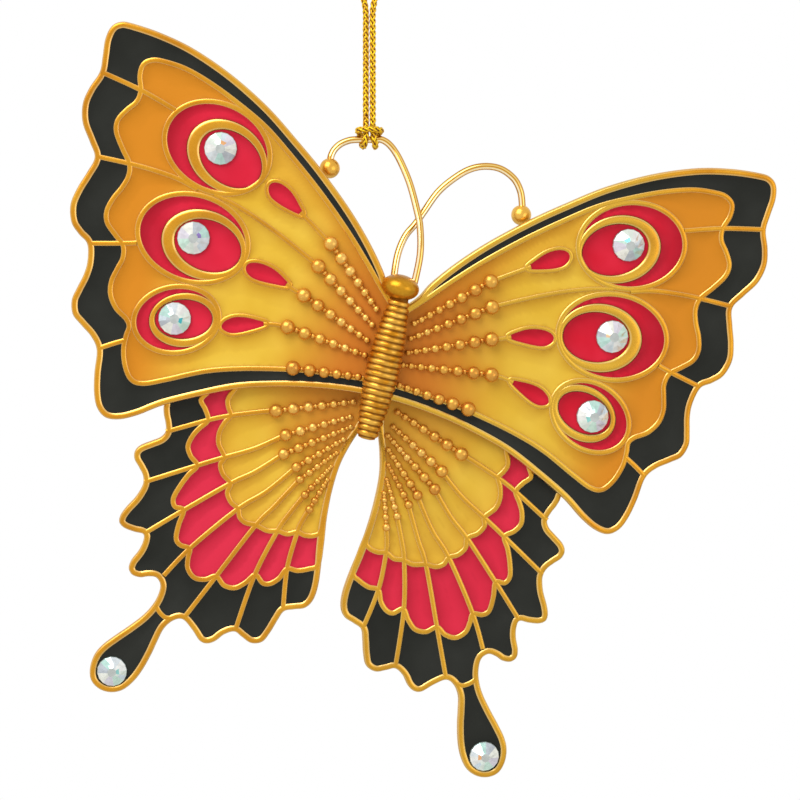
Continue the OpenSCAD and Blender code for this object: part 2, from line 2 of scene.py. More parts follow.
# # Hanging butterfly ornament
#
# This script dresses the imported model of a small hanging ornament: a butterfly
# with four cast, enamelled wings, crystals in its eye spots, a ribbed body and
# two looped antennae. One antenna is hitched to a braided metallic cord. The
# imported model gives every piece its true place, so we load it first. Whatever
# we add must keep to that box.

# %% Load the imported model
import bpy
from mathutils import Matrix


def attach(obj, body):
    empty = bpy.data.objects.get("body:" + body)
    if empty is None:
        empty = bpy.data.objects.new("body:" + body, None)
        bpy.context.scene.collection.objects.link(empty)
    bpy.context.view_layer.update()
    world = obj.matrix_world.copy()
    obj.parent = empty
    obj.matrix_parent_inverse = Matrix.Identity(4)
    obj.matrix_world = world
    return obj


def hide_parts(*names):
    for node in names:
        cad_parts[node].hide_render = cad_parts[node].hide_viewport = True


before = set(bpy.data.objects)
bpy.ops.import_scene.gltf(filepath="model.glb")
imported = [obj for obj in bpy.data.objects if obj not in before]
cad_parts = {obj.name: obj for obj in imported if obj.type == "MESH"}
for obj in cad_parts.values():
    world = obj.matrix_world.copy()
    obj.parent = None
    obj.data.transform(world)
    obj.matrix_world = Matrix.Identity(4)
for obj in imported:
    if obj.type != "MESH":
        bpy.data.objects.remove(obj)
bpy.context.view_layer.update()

from collections import Counter
from math import ceil, cos, exp, floor, hypot, pi, radians, sin
import bpy
from mathutils import Matrix, Vector, noise
from mathutils.geometry import delaunay_2d_cdt, intersect_point_tri_2d
from mathutils.kdtree import KDTree

scene = bpy.context.scene


# %% [markdown]
# ## The camera
#
# The photograph is almost straight on, taken from far away with a long lens:
# parallel lines on the wings stay parallel. A camera could be aimed by eye,
# but the crystals and the wing tips can be matched far more closely by
# solving for the angles, so the numbers here come from such a fit. The camera
# stands 0.94 m away, 5 degrees to the left and a little above the middle.

# %% Camera
camera_turn = radians(-4.908)
camera_rise = radians(2.54)
camera_far = 0.941
aim = Vector((0.004384, 0, -0.062102))
sensor_mm, photo_pixels, focal_pixels = 36, 800, 6600.3

back = Vector((sin(camera_turn) * cos(camera_rise), -cos(camera_turn) * cos(camera_rise),
               sin(camera_rise)))
camera = bpy.data.objects.new("camera", bpy.data.cameras.new("camera"))
camera.data.lens = sensor_mm * focal_pixels / photo_pixels
camera.location = aim + back * camera_far
camera.rotation_euler = (-back).to_track_quat("-Z", "Y").to_euler()
scene.collection.objects.link(camera)
scene.camera = camera
print("lens in mm:", round(camera.data.lens, 1))

# %% [markdown]
# ## Places
#
# The wings are easiest to draw flat on the bench, in millimetres: x runs out
# from the body, y runs up along the body and z comes out of the face. A
# matrix then carries the finished flat piece to where it hangs. Turning the
# objects would look the same, but the box of a turned object is measured too
# large. So `build` moves the points, and only the scale from millimetres to
# metres stays on the object.

# %% Places of the body and the wings
mm = 0.001
to_metres = Matrix.Scale(mm, 4)
loop_h = 25
hitch_at = Vector((-9.5, 31.65, -5))
wing_t = 1.3
enamel_top = 1.1
hind_drop = 2 * wing_t + 0.45
lean, roll = 2.04, 13.35
fore_turn, hind_turn, hind_lean = 5.7, 4.0, 3.4


def turned(angle, axis):
    return Matrix.Rotation(radians(angle), 4, axis)


def moved(x, y, z):
    return Matrix.Translation((x, y, z))


hang = (to_metres @ moved(0, 0, -loop_h) @ turned(lean, "X")
        @ turned(roll, "Y") @ turned(90, "X") @ moved(*(-hitch_at)))
on_wire = to_metres @ moved(0, 0, -loop_h)


def fore_place(side):
    return hang @ turned(side * fore_turn, "Y") @ moved(0, 0, -wing_t)


def hind_place(side):
    return (hang @ turned(side * hind_turn, "Y") @ turned(hind_lean, "X")
            @ moved(0, 0, -hind_drop))


sides = {"left": -1, "right": 1}
print("the hitch is at", [round(1000 * c, 2) for c in hang @ hitch_at], "mm")

# %% [markdown]
# ## Helpers for curves and meshes
#
# Every outline is a short list of points with a smooth curve through them. A
# Bezier curve object would need handles; a Catmull-Rom curve passes through
# the points themselves, so the lists stay readable. Most surfaces are rows of
# points, and `quads` lays the faces between them. `build` turns points and
# faces into a piece, mirrored for a left wing, and lets it ride on a body.

# %% Smooth curves
def between(a, b, c, d, t):
    return 0.5 * (2 * b + (c - a) * t + (2 * a - 5 * b + 4 * c - d) * t * t
                  + (3 * b - a - 3 * c + d) * t * t * t)


def smooth(points, steps=8, closed=True):
    p = [Vector(q) for q in points]
    p = [p[-1], *p, p[0], p[1]] if closed else [p[0], *p, p[-1]]
    made = [between(*p[i:i + 4], k / steps) for i in range(len(p) - 3) for k in range(steps)]
    return made if closed else made + [p[-1]]


def full_turn(n):
    """Even angles all round a circle."""
    return [2 * pi * k / n for k in range(n)]


def oval(ring, n=72):
    (cx, cy), long, wide, turn = ring
    c, s = cos(radians(turn)), sin(radians(turn))
    flat = [(long * cos(a), wide * sin(a)) for a in full_turn(n)]
    return [Vector((cx + x * c - y * s, cy + x * s + y * c)) for x, y in flat]


def rise(x, low, high):
    """0 below low, 1 above high and a soft step between."""
    t = min(max((x - low) / (high - low), 0), 1)
    return t * t * (3 - 2 * t)

# %% Build a piece
def quads(rows, columns, loop=False, ring=False, start=0):
    """Faces between rows of points. A loop joins the last row to the first, and
    in a ring each row does the same."""
    made = []
    for i in range(rows if loop else rows - 1):
        for j in range(columns if ring else columns - 1):
            a, b = start + i * columns, start + (i + 1) % rows * columns
            n = (j + 1) % columns
            made.append((a + j, b + j, b + n, a + n))
    return made


def build(name, mesh, place, side=1, body="butterfly", *, replaces):
    """Makes a piece of local points: mirrored, put in its place, kept in millimetres."""
    verts, faces = mesh
    in_frame = to_metres.inverted() @ place
    data = bpy.data.meshes.new(name)
    data.from_pydata([in_frame @ Vector((side * v[0], v[1], v[2])) for v in verts], [],
                     [f[::side] for f in faces])
    data.validate()
    data.shade_smooth()
    made = bpy.data.objects.new(name, data)
    scene.collection.objects.link(made)
    made.matrix_world = to_metres
    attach(made, body)
    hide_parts(*replaces)
    return made


def join(*meshes):
    verts, faces = [], []
    for v, f in meshes:
        start = len(verts)
        verts += v
        faces += [tuple(i + start for i in face) for face in f]
    return verts, faces

# %% [markdown]
# ## Materials
#
# Each finish gets its own node tree. The gold is a satin plated casting, a
# little uneven in tone; on the wing lines, shade is painted browner at their feet and a highlight is
# painted pale on their shoulders.
# Noise at two sizes makes the unevenness, and a fine bump breaks up the
# shine. Values that are the same all over go straight on the shader.

# %% A start for every material
def srgb(text):
    """A colour as six hex figures, made linear for the shader."""
    parts = [int(text[i:i + 2], 16) / 255 for i in (0, 2, 4)]
    return [p / 12.92 if p < 0.04045 else ((p + 0.055) / 1.055) ** 2.4 for p in parts] + [1]


def add_node(tree, kind, inputs=(), **settings):
    """Adds a node with its settings; each input gets a link or a fixed value."""
    made = tree.nodes.new(kind)
    for key, value in settings.items():
        setattr(made, key, value)
    for key, value in dict(inputs).items():
        if hasattr(value, "links"):
            tree.links.new(value, made.inputs[key])
        else:
            made.inputs[key].default_value = srgb(value) if isinstance(value, str) else value
    return made


class Finish:
    """A material and short ways to add its nodes; sizes and heights are in mm."""

    def __init__(self, name, **sockets):
        self.material = bpy.data.materials.new(name)
        self.material.use_nodes = True
        self.tree = self.material.node_tree
        self.shader = self.tree.nodes["Principled BSDF"]
        for socket, value in sockets.items():
            self.shader.inputs[socket.replace("_", " ")].default_value = value
        self.coordinates = self.node("ShaderNodeTexCoord").outputs["Object"]

    def node(self, kind, inputs=(), **settings):
        return add_node(self.tree, kind, inputs, **settings)

    def noise(self, size, detail=2.0):
        """Cloudy values from 0 to 1, with clouds about that size."""
        made = self.node("ShaderNodeTexNoise", {
            "Vector": self.coordinates, "Scale": 1 / size, "Detail": detail})
        return made.outputs["Fac"]

    def ramp(self, value, *stops):
        """A colour or a grey for each value, from stops of (value, colour)."""
        made = self.node("ShaderNodeValToRGB", {"Fac": value})
        marks = made.color_ramp.elements
        while len(marks) < len(stops):
            marks.new(0.5)
        for mark, (at, colour) in zip(marks, stops):
            mark.position = at
            mark.color = srgb(colour) if isinstance(colour, str) else [colour] * 3 + [1]
        return made.outputs["Color"]

    def mix(self, amount, a, b, way="MIX"):
        # of the node's many sockets, 6 and 7 are its two colours
        inputs = {0: amount, 6: a, 7: b}
        return self.node("ShaderNodeMix", inputs, data_type="RGBA", blend_type=way).outputs[2]

    def grow(self, value, times):
        made = self.node("ShaderNodeMath", {0: value, 1: times}, operation="MULTIPLY")
        return made.outputs["Value"]

    def shade(self, socket, value):
        self.tree.links.new(value, self.shader.inputs[socket])

    def colour(self, value):
        self.shade("Base Color", value)

    def bump(self, value, height, strength):
        made = self.node("ShaderNodeBump", {
            "Strength": strength, "Distance": height * mm, "Height": value})
        self.shade("Normal", made.outputs["Normal"])

    def rough(self, value, low, high):
        made = self.node("ShaderNodeMapRange", {"To Min": low, "To Max": high, "Value": value})
        self.shade("Roughness", made.outputs["Result"])

    def tones(self):
        """The three channels of the mesh's own tone layer."""
        read = self.node("ShaderNodeVertexColor", layer_name="tone")
        split = self.node("ShaderNodeSeparateColor", {"Color": read.outputs["Color"]})
        return [split.outputs[channel] for channel in ("Red", "Green", "Blue")]

    def on(self, piece):
        piece.data.materials.clear()
        piece.data.materials.append(self.material)


def give_tones(piece, tones):
    """Stores up to three values for each vertex in the piece's tone layer."""
    layer = piece.data.color_attributes.new("tone", "FLOAT_COLOR", "POINT")
    for spot, values in zip(layer.data, tones):
        spot.color = (*(*values, 0, 0)[:3], 1)

# %% Gold finishes
def grained(name, metallic, roughness, grain):
    """Metal with a fine grain in its shine and relief; gives the grain too."""
    made = Finish(name, Metallic=metallic)
    fine = made.noise(0.35, detail=3)
    made.rough(fine, roughness - 0.03, roughness + 0.05)
    made.bump(fine, 0.012, grain)
    return made, fine


def gold_finish(name, dark, plain, pale, metallic, roughness, grain=0.2):
    made, fine = grained(name, metallic, roughness, grain)
    tone = made.ramp(made.noise(6), (0.32, dark), (0.5, plain), (0.68, pale))
    made.colour(made.mix(grain, tone, made.ramp(fine, (0.35, dark), (0.65, pale))))
    return made


wing_gold = gold_finish("wing_gold", "C47E14", "D4901C", "DC9E2A", 0.8, 0.27)
bead_gold = gold_finish("bead_gold", "CA862C", "DEA440", "EABA60", 0.7, 0.25)
body_gold = gold_finish("body_gold", "B0760E", "C88C1A", "DAA432", 0.85, 0.3)
wire_gold, _ = grained("wire_gold", 1.0, 0.1, grain=0.02)
ball_gold = gold_finish("ball_gold", "DAA038", "E4AE48", "EEC060", 0.9, 0.27, grain=0.06)

# the raised lines get painted shade at their feet and a painted pale highlight on their shoulders,
# and the gold runs from orange at the rims to a yellower one round the eyes
gold = wing_gold
height, yellow, _ = gold.tones()
tone = gold.shader.inputs["Base Color"].links[0].from_socket
tone = gold.mix(gold.grow(yellow, 0.75), tone, "D0AA3A")
painted_highlight_band = gold.ramp(height, (0.2, 0.0), (0.5, 1.0), (0.85, 0.0))
painted_foot_shade = gold.ramp(height, (0.0, 1.0), (0.3, 0.0))
tone = gold.mix(gold.grow(painted_highlight_band, 0.5), tone, "F6E0A4")
gold.colour(gold.mix(gold.grow(painted_foot_shade, 0.5), tone, "8A6014"))

# painted reflections: fine pale highlights and brown lines along the wire, from its outer side in
across, _, _ = wire_gold.tones()
wire_gold.colour(wire_gold.ramp(
    across, (0.0, "A46C12"), (0.15, "D89C30"), (0.27, "F4D88C"), (0.36, "E8BC60"),
    (0.45, "B87816"), (0.55, "E2AE48"), (0.66, "FFEFC4"), (0.8, "FFEFC8"),
    (0.9, "D6982C"), (1.0, "9C6610")))
print("gold finishes:", len([m for m in bpy.data.materials if m.name.endswith("gold")]))

# %% [markdown]
# ## The hanging cord
#
# A thin cord, braided from gold yarns over a brown core, goes through under
# the antenna wire and back through its own loop: a lark's head hitch.
# Both strands then run up to a hook out of the picture. A single tube with a
# bump would look like wire, so we braid it for real: eight yarns wind round
# the route, four each way, and each goes over two of the others and then under
# two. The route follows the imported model, so the hitch holds the wire where it
# should.

# %% Route of the cord
wire_r, cord_r, air = 0.5, 0.435, 0.08
wrap_r = wire_r + cord_r + air
strand_x = 0.49
hitch_top = 3.4

half_hitch = [(-strand_x, 0, hitch_top), (-strand_x, 0, 2.6), (-strand_x, -0.1, 1.7),
              (-0.52, -0.45, 1.1)]
for angle in range(30, -171, -40):
    a = radians(angle)
    half_hitch.append((-0.55 - 0.25 * (30 - angle) / 100,
                       -wrap_r * cos(a), wrap_r * sin(a)))
half_hitch += [(-1.3, 0.8, 0.72), (-1.62, 0.1, 1.2), (-1.5, -0.8, 1.36), (-0.8, -1.25, 1.46)]
hitch = half_hitch + [(0, -1.32, 1.5)] + [(-x, y, z) for x, y, z in half_hitch[::-1]]

loop_bend = loop_h - 7
half_loop = [(-strand_x, 0, hitch_top + k * (loop_bend - hitch_top) / 5) for k in range(6)]
half_loop += [(-0.75, 0, loop_h - 5.2), (-1.15, 0, loop_h - 3.6), (-1.6, 0, loop_h - 1.9),
              (-1.5, 0, loop_h - 0.4), (-0.85, 0, loop_h + 0.25)]
loop = half_loop + [(0, 0, loop_h + cord_r)] + [(-x, y, z) for x, y, z in half_loop[::-1]]

cord_route = smooth(hitch, closed=False) + smooth(loop[::-1], closed=False)[1:]

# %% Frames along a route, carried without twist
def even(route, step):
    """Points along the route, one every step."""
    made, left = [route[0]], step
    for a, b in zip(route, route[1:]):
        length = (b - a).length
        at = left
        while at <= length:
            made.append(a.lerp(b, at / length))
            at += step
        left = at - length
    return made


def frames(route):
    # the first side may be any direction that the route doesn't take
    made, side = [], Vector((0.31, 0.52, 0.8))
    for i, p in enumerate(route):
        along = (route[min(i + 1, len(route) - 1)] - route[max(i - 1, 0)]).normalized()
        side = (side - side.dot(along) * along).normalized()
        made.append((p, side, along.cross(side)))
    return made


def tube(route, radius, sides):
    """A round tube along a route, closed at both ends."""
    verts = [p + radius * (cos(a) * u + sin(a) * v)
             for p, u, v in frames(route) for a in full_turn(sides)]
    faces = [(a, d, c, b) for a, b, c, d in quads(len(route), sides, ring=True)]
    ends = [tuple(range(sides))[::-1], tuple(range(len(verts) - sides, len(verts)))]
    return verts, faces + ends

# %% Braid the yarns
# yarns each way, the length of one turn, and how far out the yarns run
yarns, turn_length = 4, 3.3
middle, lift, yarn_r, core_r = 0.255, 0.075, 0.165, 0.22
yarn_sides, yarn_step = 6, 0.13


def braid(route):
    """Yarns wound both ways over a core, and how far out each vertex lies."""
    points = even(route, yarn_step)
    carried = frames(points)
    made, out = [], []
    for way in (-1, 1):
        for yarn in range(yarns):
            path = []
            for i, (p, u, v) in enumerate(carried):
                turns = i * yarn_step / turn_length
                a = way * 2 * pi * turns + 2 * pi * yarn / yarns
                # over two yarns of the other way, then under two
                over = way * cos(pi * (yarns * turns + way * (yarn - 0.25)))
                r = middle + lift * over
                path.append(p + r * (cos(a) * u + sin(a) * v))
            made.append(tube(path, yarn_r, yarn_sides))
            out += [(spot - points[i // yarn_sides]).length
                    for i, spot in enumerate(made[-1][0])]
    made.append(tube(points[::2], core_r, 8))
    out += [0.0] * len(made[-1][0])
    return join(*made), out


braided, out_by = braid(cord_route)
cord = build("hanging_cord_braid", braided, on_wire, body="cord",
             replaces=("hanging_cord", "cord_hitch"))
# the brown core between the yarns, and painted shade on the yarns where they lie low under the others;
# gold on their backs
brown_to, gold_from = 0.335, 0.415
give_tones(cord, [(min(max((r - brown_to) / (gold_from - brown_to), 0), 1),) for r in out_by])
print("yarn faces:", len(cord.data.polygons))

# %% Cord finish
yarn = Finish("metallic_cord", Metallic=0.5, Roughness=0.36)
outward, _, _ = yarn.tones()
yarn_glints = yarn.ramp(yarn.noise(0.3, detail=1), (0.35, "DC9C0C"), (0.6, "FFD80C"))
yarn.colour(yarn.mix(yarn.ramp(outward, (0.2, 0.0), (0.8, 1.0)), "7A3E10", yarn_glints))
yarn.bump(yarn.noise(0.08, detail=1), 0.03, 0.4)
yarn.on(cord)

# %% [markdown]
# ## Shapes of the forewing
#
# These are the lists the casting pattern is drawn from: the scalloped outer
# edge, the line between the field and the black border, the lines across the
# border, the three eyes with their rings, and the red drops. They are the
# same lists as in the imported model, so both agree.

# %% Forewing lists
fore_edge = [
    (-1.5, -3.4), (0.3, -3.5), (5, -3.8), (10, -4.5), (15, -5.6), (20, -7.1), (25, -9.4), (29.6, -11.8),
    (32.8, -14), (35.2, -15.2), (37.2, -15.4), (38.7, -14.3), (39.6, -12.3), (40.2, -9.5), (40.6, -6.4),
    (41.8, -4.7), (43.6, -3.4), (45.1, -2.2), (45.7, -0.3), (45.4, 1.5), (44.9, 3.6), (44.8, 5.6),
    (45.4, 8), (46.9, 9.1), (48.3, 10.5), (49, 12.9), (48.6, 15.4), (47.8, 17.8), (47.2, 20.2),
    (48.4, 22.2), (50, 24.6), (50.6, 27.2), (50.2, 29.6), (49.3, 32.1), (49.4, 34.4), (49.6, 36.8),
    (49.2, 38.7), (48.1, 39.7), (46.4, 39.9), (42, 39.5), (37, 38.4), (31, 36.1), (25, 32.9),
    (20, 29.4), (15.5, 26), (10.3, 21.5), (6.5, 17.6), (3.6, 14), (2.2, 11.6), (0.3, 9.6), (-1.5, 8)
]
fore_border = [
    (-1.5, -1.2), (0.3, -1.3), (5, -1.65), (10, -2.1), (14.2, -2.8), (20, -4.1), (25, -5.7), (30, -8.1),
    (33, -9.4), (34.8, -9.3), (36.1, -7.7), (36.9, -5.4), (37, -3.4), (36.9, -2), (37.6, -1),
    (39.3, 0.1), (40.5, 1.8), (40.8, 3.7), (40.4, 5.6), (40, 7.3), (40.4, 9), (41.8, 10.2),
    (43.3, 11.6), (43.75, 13.2), (43.3, 15.1), (42.4, 17), (41.9, 18.8), (42.2, 20.5), (43.6, 22.3),
    (45, 24.4), (45.2, 26.1), (44.3, 27.8), (43.2, 29.3), (43, 31), (43.6, 32.9), (43.5, 34.6),
    (42.4, 35.5), (40.8, 35.7), (37.5, 35.4), (33.5, 34.2), (29, 32.3), (24.5, 30), (20, 26.8),
    (15, 22.9), (10, 18.5), (6, 14.5), (3.6, 11.9), (0.3, 8.6), (-1.5, 7)
]
fore_lines = [
    [(37.6, 29.4), (43, 31), (49.6, 32.3)],
    [(32, 19.2), (35, 20), (38.8, 20.4), (42.2, 20.5), (47.6, 20.4)],
    [(38.6, 9.8), (40.4, 9.3), (45.8, 8)],
    [(36.9, -4), (38.7, -5), (40.9, -6.4)]
]
fore_veins = [
    [(17, 19.4), (14.6, 17.9), (12.3, 16.4)],
    [(13.2, 12.8), (16.7, 14.5), (20, 16), (23.3, 17.3), (26.7, 18.4), (29.5, 19)],
    [(16.6, 9), (15.3, 8.5), (14.2, 8.2)],
    [(18.4, 2.8), (17, 3.1), (15.4, 3.2)]
]
# the ring, the inner ring and the pupil of each eye as (middle, long, wide, turn)
eyes = [
    [((30.6, 25.6), 7.8, 6.2, 14), ((28.95, 24.7), 6.15, 4.9, 22), ((28.4, 24.5), 4.85, 3.6, 25)],
    [((31, 12.3), 8, 6.15, 4), ((29.25, 11.75), 6.2, 4.95, 6), ((28.7, 11.75), 4.85, 3.55, 8)],
    [((30.6, 0.5), 6.1, 4.7, -22), ((29.5, 0.7), 5.05, 3.9, -18), ((29.6, 0.8), 4.05, 2.75, -15)]
]
drops = [
    [(16.6, 19.1), (17.6, 20.6), (18.9, 21.9), (20.5, 22.7),
     (21.8, 22.6), (22.2, 21.7), (21.5, 20.5), (19.4, 19.6)],
    [(16.2, 8.9), (17.6, 10.1), (19.3, 10.85), (21.2, 11.05),
     (22.5, 10.6), (22.6, 9.6), (21.4, 8.75), (18.8, 8.6)],
    [(18, 2.85), (19.8, 3.15), (21.6, 3.05), (23, 2.6),
     (24, 1.7), (24, 0.8), (22.6, 0.45), (20.6, 1.2)]
]
# bead rows as [outer end, inner end, number of beads, largest bead]
fore_rows = [
    [(11.75, 16.1), (3.3, 8.6), 7, 2],
    [(12.75, 12.6), (3.4, 6.3), 7, 2],
    [(13.8, 8.1), (3.6, 4), 7, 2],
    [(15, 3.2), (3.4, 1.85), 7, 2],
    [(12.9, -2.3), (3.6, -1.35), 6, 2]
]
print("forewing edge points:", len(fore_edge))

# %% [markdown]
# ## Shapes of the hindwing
#
# The hindwing is a fan: seven veins run from the bead rows through a row of
# red cells and a row of black ones to the notches of the edge. One black cell
# is drawn out into a tail with a crystal in its end. Its line starts a little
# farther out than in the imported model, so that no end shows at the notch.

# %% Hindwing lists
hind_edge = [
    (0.3, -4.5), (1.2, -8), (2.4, -11.5), (3.15, -14.8), (3.35, -19), (3.2, -23), (2.8, -26.5),
    (2.35, -29.4), (2.1, -32.3), (2.35, -34.4), (3.2, -35.7), (4.7, -36.3), (6, -36.9), (6.6, -38.4),
    (7.2, -40.3), (8, -41.9), (9.5, -42.45), (11, -41.9), (12.2, -41.4), (13.5, -42.1), (14.6, -43.4),
    (15.7, -44), (16.8, -43.8), (18.2, -42.5), (19.8, -41.4), (21.1, -41.9), (22.1, -43.3),
    (22.6, -45.3), (23, -47.3), (23.7, -49.8), (24.6, -51.8), (25.9, -53.4), (27.6, -54.1),
    (29.3, -53.9), (30.6, -52.9), (31.1, -51.2), (30.9, -49.3), (30.1, -47.7), (28.7, -46), (27, -44.1),
    (25.4, -42.1), (24.4, -40.2), (24, -38.5), (24.1, -37.2), (24.9, -36.4), (26, -36.5), (27.1, -36.9),
    (28.3, -36.8), (29, -36), (28.9, -34.8), (28.2, -33.2), (27.9, -31.8), (28.1, -30.75),
    (29.4, -30.7), (30.9, -30.5), (31.8, -29.9), (31.9, -28.9), (31.4, -27.6), (30.5, -26), (30, -24.7),
    (29.8, -23.6), (30.1, -22.5), (30.9, -21.5), (31.8, -20.5), (32, -19.4), (31.4, -18.4), (30, -17.4),
    (28.9, -16.6), (28.4, -15.6), (28.7, -14.4), (29.2, -13.3), (29.5, -12), (29.2, -10.4), (25, -7.2),
    (20, -5), (14, -3.2), (8, -2.2), (0.3, -1.9), (-1.5, -3.2)
]
# the lines inside and outside the red cells share their inner and top ends
hind_root = [(0.3, -4), (1.6, -8), (3.2, -12.5), (3.75, -17)]
hind_top = [(19, -5.6), (14, -4), (8, -3), (0.3, -2.6), (-1.5, -3.3)]
hind_field = hind_root + [
    (3.75, -21), (3.6, -24.3), (4.3, -25.2), (5.6, -25.5), (6.8, -25.3), (8.1, -25.9), (9.5, -25.8),
    (11, -26.1), (12.8, -25.7), (14.3, -25.7), (15.3, -25.1), (15.8, -24), (17, -23.3), (17.8, -22.1),
    (17.7, -20.7), (19, -19.7), (19.7, -18.4), (19.4, -17.2), (20.6, -15.6), (20.9, -14), (20.5, -12.4),
    (19.9, -11.2), (20.5, -10.1), (20.8, -9), (20.3, -7.6)
] + hind_top
hind_mid = hind_root + [
    (3.6, -22), (3.1, -26), (2.9, -29.2), (4, -30.1), (5.5, -30.7), (7, -30.8), (7.8, -32.4),
    (8.8, -33.4), (9.9, -33.6), (11.2, -32.7), (12.3, -34.1), (13.6, -35.2), (15.2, -35.2),
    (16.6, -34.2), (18, -35), (19.6, -35.1), (20.8, -34), (21.1, -32.5), (21.2, -31.2), (22.6, -31),
    (23.4, -30.2), (23.5, -28.2), (23.3, -26), (24.6, -25.8), (25.1, -24.7), (24.6, -22.8),
    (23.8, -20.9), (22.9, -19.3), (24.1, -18.2), (24.8, -16.9), (24.5, -15.3), (23.8, -14),
    (22.9, -12.6), (23.6, -11.2), (24.5, -10.1), (24.1, -9.1), (22.8, -7.6)
] + hind_top
hind_veins = [
    [(13.8, -9), (16.5, -9.9), (19.9, -11.2), (22.9, -12.6), (28.8, -15.9)],
    [(11.7, -12.1), (15.3, -14.9), (19.3, -17.2), (22.9, -19.3), (30.2, -23.7)],
    [(11.3, -14.8), (14.6, -18.2), (17.7, -20.7), (23.3, -26), (28.3, -30.9)],
    [(9.1, -16.2), (12.4, -20.6), (15.8, -24), (21.2, -31.2), (24.4, -36.8)],
    [(8.2, -17.8), (10.8, -22.4), (12.8, -25.7), (16.6, -34.2), (20, -41.8)],
    [(7, -19.8), (8.6, -23.2), (9.6, -25.8), (11.3, -32.8), (12.2, -41.8)],
    [(5.9, -21.7), (6.5, -23.6), (6.8, -25.4), (7, -30.8), (6.1, -37.2)]
]
hind_rows = [
    [(13.8, -9), (3.4, -5.2), 7, 1.9],
    [(11.65, -12.05), (3.3, -7.4), 7, 1.7],
    [(11.3, -14.8), (2.9, -8.8), 7, 1.6],
    [(9.1, -16.2), (3.5, -10.8), 6, 1.4],
    [(8.2, -17.8), (4, -12.9), 6, 1.2],
    [(7, -19.8), (4.3, -15), 6, 1.1],
    [(5.9, -21.7), (4.4, -17), 5, 1.1]
]
tail_line = [(21.35, -41.5), (21.9, -41.66), (22.5, -41.6), (23.4, -41), (24.2, -40)]
print("hindwing edge points:", len(hind_edge))

# %% [markdown]
# ## The cast frames
#
# On the real ornament the frame is one casting: a thin back plate, a rounded
# rim and raised lines that wall off the cells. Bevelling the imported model's
# square lines would keep their facets, so the lines are drawn again here, as
# bands with a rounded section swept along the smooth curves. Each band is
# a touch wider than the square line and so covers the edge of the enamel.

# %% Sweep a section along a line
enamel_low = enamel_top - 0.03
line_h = wing_t - enamel_low


def band(path, section, closed=True):
    """section is a list of (across, height); across is measured to the left."""
    verts = []
    n = len(path)
    for i, p in enumerate(path):
        a = path[i - 1] if closed or i else p
        b = path[(i + 1) % n] if closed or i < n - 1 else p
        along = (b - a).normalized()
        left = Vector((-along.y, along.x))
        for across, height in section:
            spot = p + left * across
            verts.append((spot.x, spot.y, height))
    return verts, quads(n, len(section), loop=closed)


def arch(width):
    """A rounded section for a raised line of that width."""
    angles = [radians(a) for a in range(-90, 91, 18)]
    return [(width / 2 * sin(a), enamel_low + line_h * cos(a) ** 0.9) for a in angles]


# from the edge of the back plate up over the rounded rim and down to the enamel
rim = [(0.15, 0), (0.03, 0.12), (0, 0.3), (0, 0.9), (0.06, 1.12), (0.2, 1.26), (0.42, 1.3),
       (0.64, 1.27), (0.82, 1.2), (0.92, 1.13), (0.97, enamel_low)]

# %% Lines, rings and drops
border_w, notch_w, vein_w, hind_vein_w = 0.8, 0.78, 0.66, 0.76
ring_w, drop_w, drop_out = 0.84, 0.6, 0.25


def wing_line(points):
    """A closed smooth line, cut straight beside the centre line, no point twice."""
    path = [Vector((max(p.x, 0.3), p.y)) for p in smooth(points)]
    return [p for p, q in zip(path, path[1:] + path[:1]) if (p - q).length > 0.01]


def crescent(outer, inner, steps=8):
    """The thick gold ring between two ovals, gently domed across."""
    pairs = list(zip(oval(outer), oval(inner)))
    verts = []
    for p, q in pairs:
        for k in range(steps + 1):
            s = k / steps
            spot = p.lerp(q, s)
            verts.append((spot.x, spot.y, enamel_low + line_h * (1 - abs(2 * s - 1) ** 3.5)))
    return verts, quads(len(pairs), steps + 1, loop=True)


def plate(path):
    """The flat back of the casting, inside the rim's lower edge."""
    edge = [Vector(v[:2]) for v in band(path, rim[:1])[0]]
    loop = [(i, (i + 1) % len(edge)) for i in range(len(edge))]
    spots, _, faces, *_ = delaunay_2d_cdt(edge, loop, [], 1, 1e-5)
    return [(p.x, p.y, 0.0) for p in spots], [tuple(f)[::-1] for f in faces]


def gold_line(points, width, short=0.0):
    """A raised line; short takes that much off its far end, under the rim."""
    path = smooth(points, closed=False)
    while short > 0 and len(path) > 2:
        short -= (path[-1] - path[-2]).length
        path.pop()
    return band(path, arch(width), closed=False)


def fore_casting():
    edge = wing_line(fore_edge)
    parts = [plate(edge), band(edge, rim),
             band(wing_line(fore_border), arch(border_w))]
    parts += [gold_line(p, notch_w, short=0.5) for p in fore_lines]
    parts += [gold_line(p, vein_w) for p in fore_veins]
    for ring, inner, pupil in eyes:
        parts.append(band(oval(ring), arch(ring_w)))
        parts.append(crescent(inner, pupil))
    for drop in drops:
        # the drops are listed clockwise; their lines lie just outside
        outside = [(x - drop_out, z) for x, z in arch(drop_w)]
        parts.append(band(smooth(drop)[::-1], outside))
    return join(*parts)


def hind_casting():
    edge = wing_line(hind_edge)
    parts = [plate(edge), band(edge, rim)]
    for line in (hind_field, hind_mid):
        parts.append(band(wing_line(line), arch(border_w)))
    parts += [gold_line(p, hind_vein_w, short=0.5) for p in hind_veins]
    parts.append(gold_line(tail_line, hind_vein_w, short=0.4))
    return join(*parts)

# %% Build the four castings
def gold_tones(mesh, side, wing):
    """How far up the raised lines a point lies, and how yellow its gold is."""
    for x, y, z in mesh[0]:
        up = min((z - enamel_low) / line_h, 1)
        yellow = 1 - rise(x + 0.12 * abs(y - 12), 31, 39) if wing == "forewing" else 0.6
        # the sides of the casting and its back count as tops
        yield 1 if z < enamel_low - 0.01 else up, yellow * (0.9 if side == 1 else 0.25)


